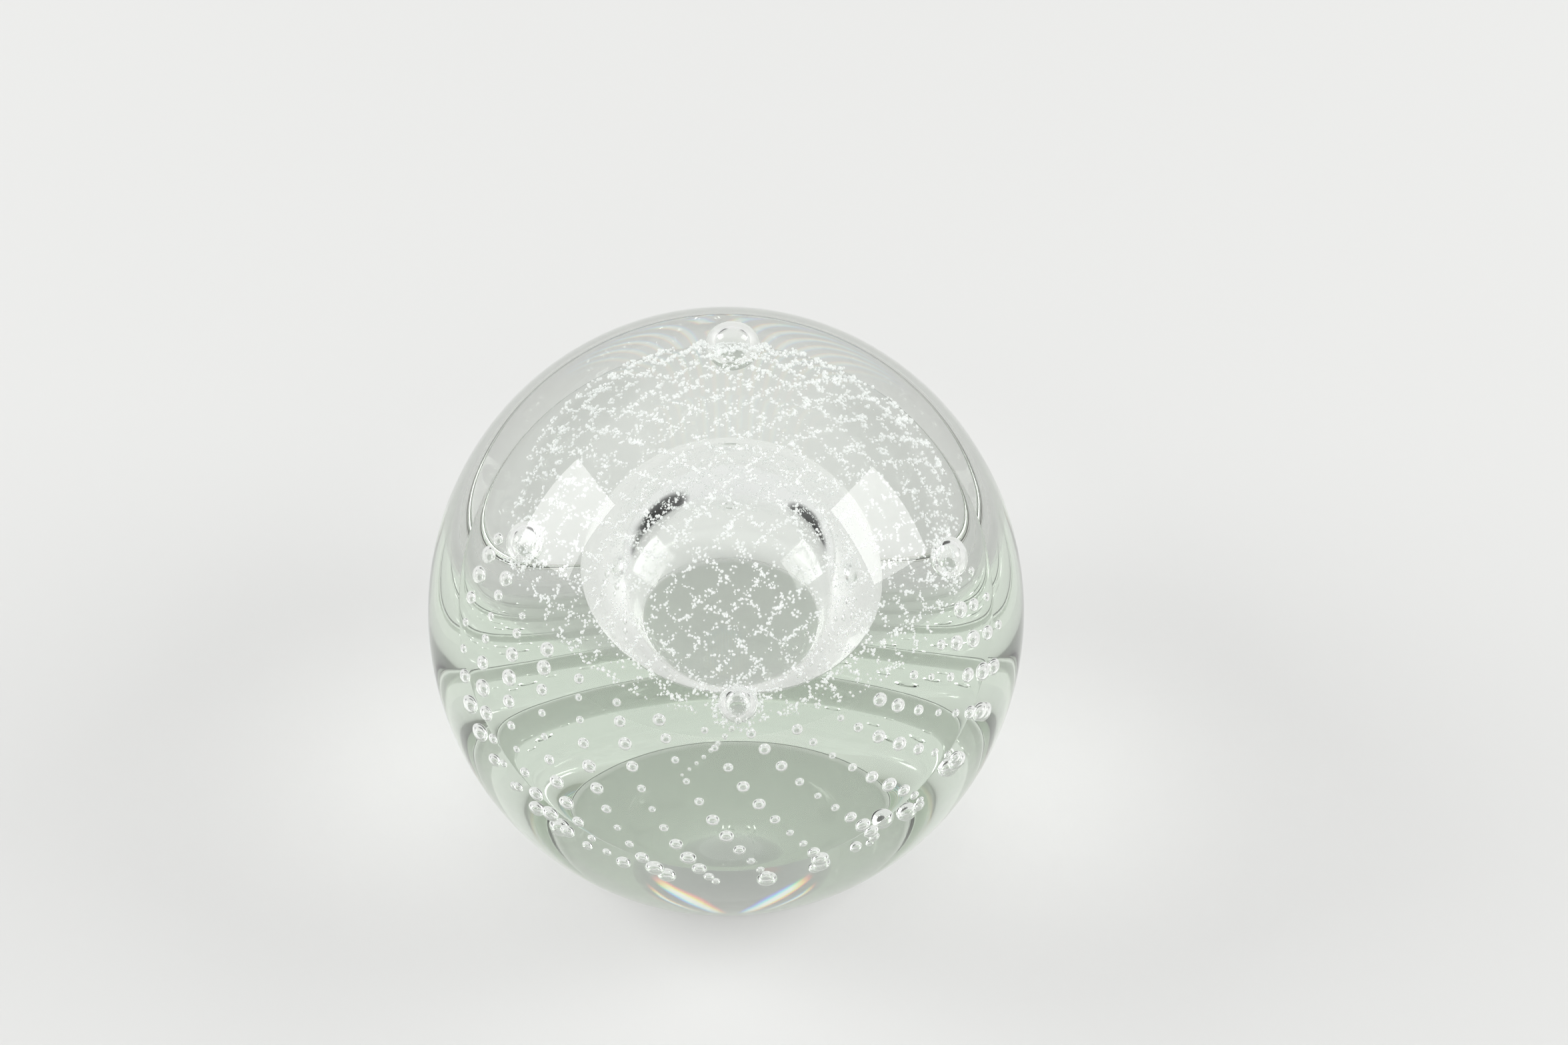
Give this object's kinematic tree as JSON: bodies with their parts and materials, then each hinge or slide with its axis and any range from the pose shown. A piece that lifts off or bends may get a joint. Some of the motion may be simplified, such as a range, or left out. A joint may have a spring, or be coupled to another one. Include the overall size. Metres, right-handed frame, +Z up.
{
  "type": "glass paperweight",
  "caption": "Clear cased-glass ball paperweight with a large heart bubble, a lattice veil of fine seeds, collar bubbles and rows of trapped air, on a flat ground base.",
  "frame": {"origin": "middle of the flat ground face the paperweight rests on", "axes": "+Z up through the middle of the ball, -Y towards the front collar bubble"},
  "size_m": [0.08, 0.08, 0.0724],
  "materials": {
    "clear_glass": "fire polished, ground flat on the base",
    "core_glass": "clear glass fused under the outer glass",
    "seeded_glass": "white lattice of fine seeds of air",
    "trapped_air": "bright skin of a bubble of air"
  },
  "bodies": {
    "root": {"outer_glass": "clear_glass", "core_glass": "core_glass", "lattice_veil": "seeded_glass", "heart_bubble": "trapped_air", "seed_trail": "trapped_air", "collar_bubble_front": "trapped_air", "collar_bubble_right": "trapped_air", "collar_bubble_back": "trapped_air", "collar_bubble_left": "trapped_air", "bubble_row_01": "trapped_air", "bubble_row_02": "trapped_air", "bubble_row_03": "trapped_air", "bubble_row_04": "trapped_air", "bubble_row_05": "trapped_air", "bubble_row_06": "trapped_air", "bubble_row_07": "trapped_air", "bubble_row_08": "trapped_air", "bubble_row_09": "trapped_air", "bubble_row_10": "trapped_air", "bubble_row_11": "trapped_air", "bubble_row_12": "trapped_air"}
  },
  "joints": []
}
